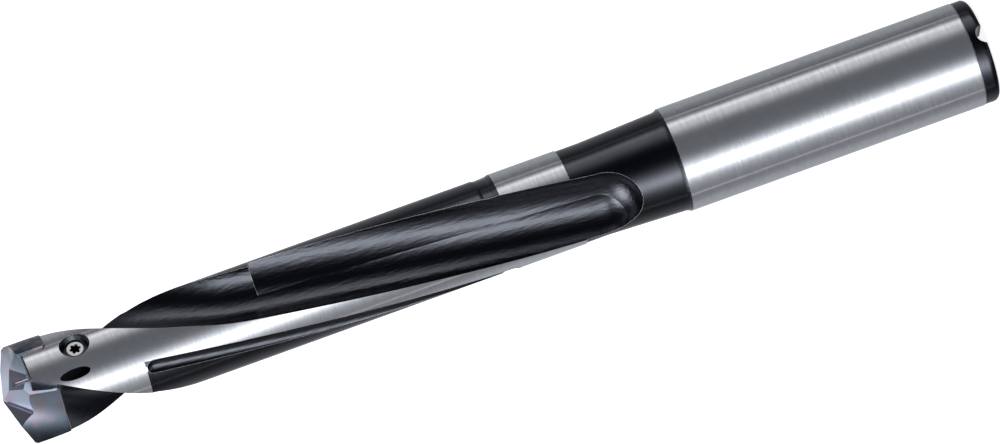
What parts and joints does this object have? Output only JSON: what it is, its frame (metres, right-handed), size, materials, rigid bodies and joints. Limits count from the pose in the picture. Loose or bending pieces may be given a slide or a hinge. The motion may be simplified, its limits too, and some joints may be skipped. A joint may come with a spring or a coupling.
{
  "type": "replaceable tip drill",
  "caption": "Long metal-cutting drill with a plain round shank, spiral chip flutes and a clamped replaceable carbide tip.",
  "frame": {"origin": "centre of the rear face of the shank", "axes": "+Z along the drill's axis, from the rear face towards the cutting point; the two cutting lips lie close to the X axis"},
  "size_m": [0.016, 0.016, 0.154],
  "materials": {
    "drill_body": "hardened steel, satin black, with ground silver margins, front lands and shank",
    "drill_tip": "ground carbide with a blue-grey coating that turns pinkish in places",
    "clamp_screw": "bright steel"
  },
  "bodies": {
    "root": {"drill_body": "drill_body", "drill_tip": "drill_tip", "clamp_screw": "clamp_screw"}
  },
  "joints": []
}
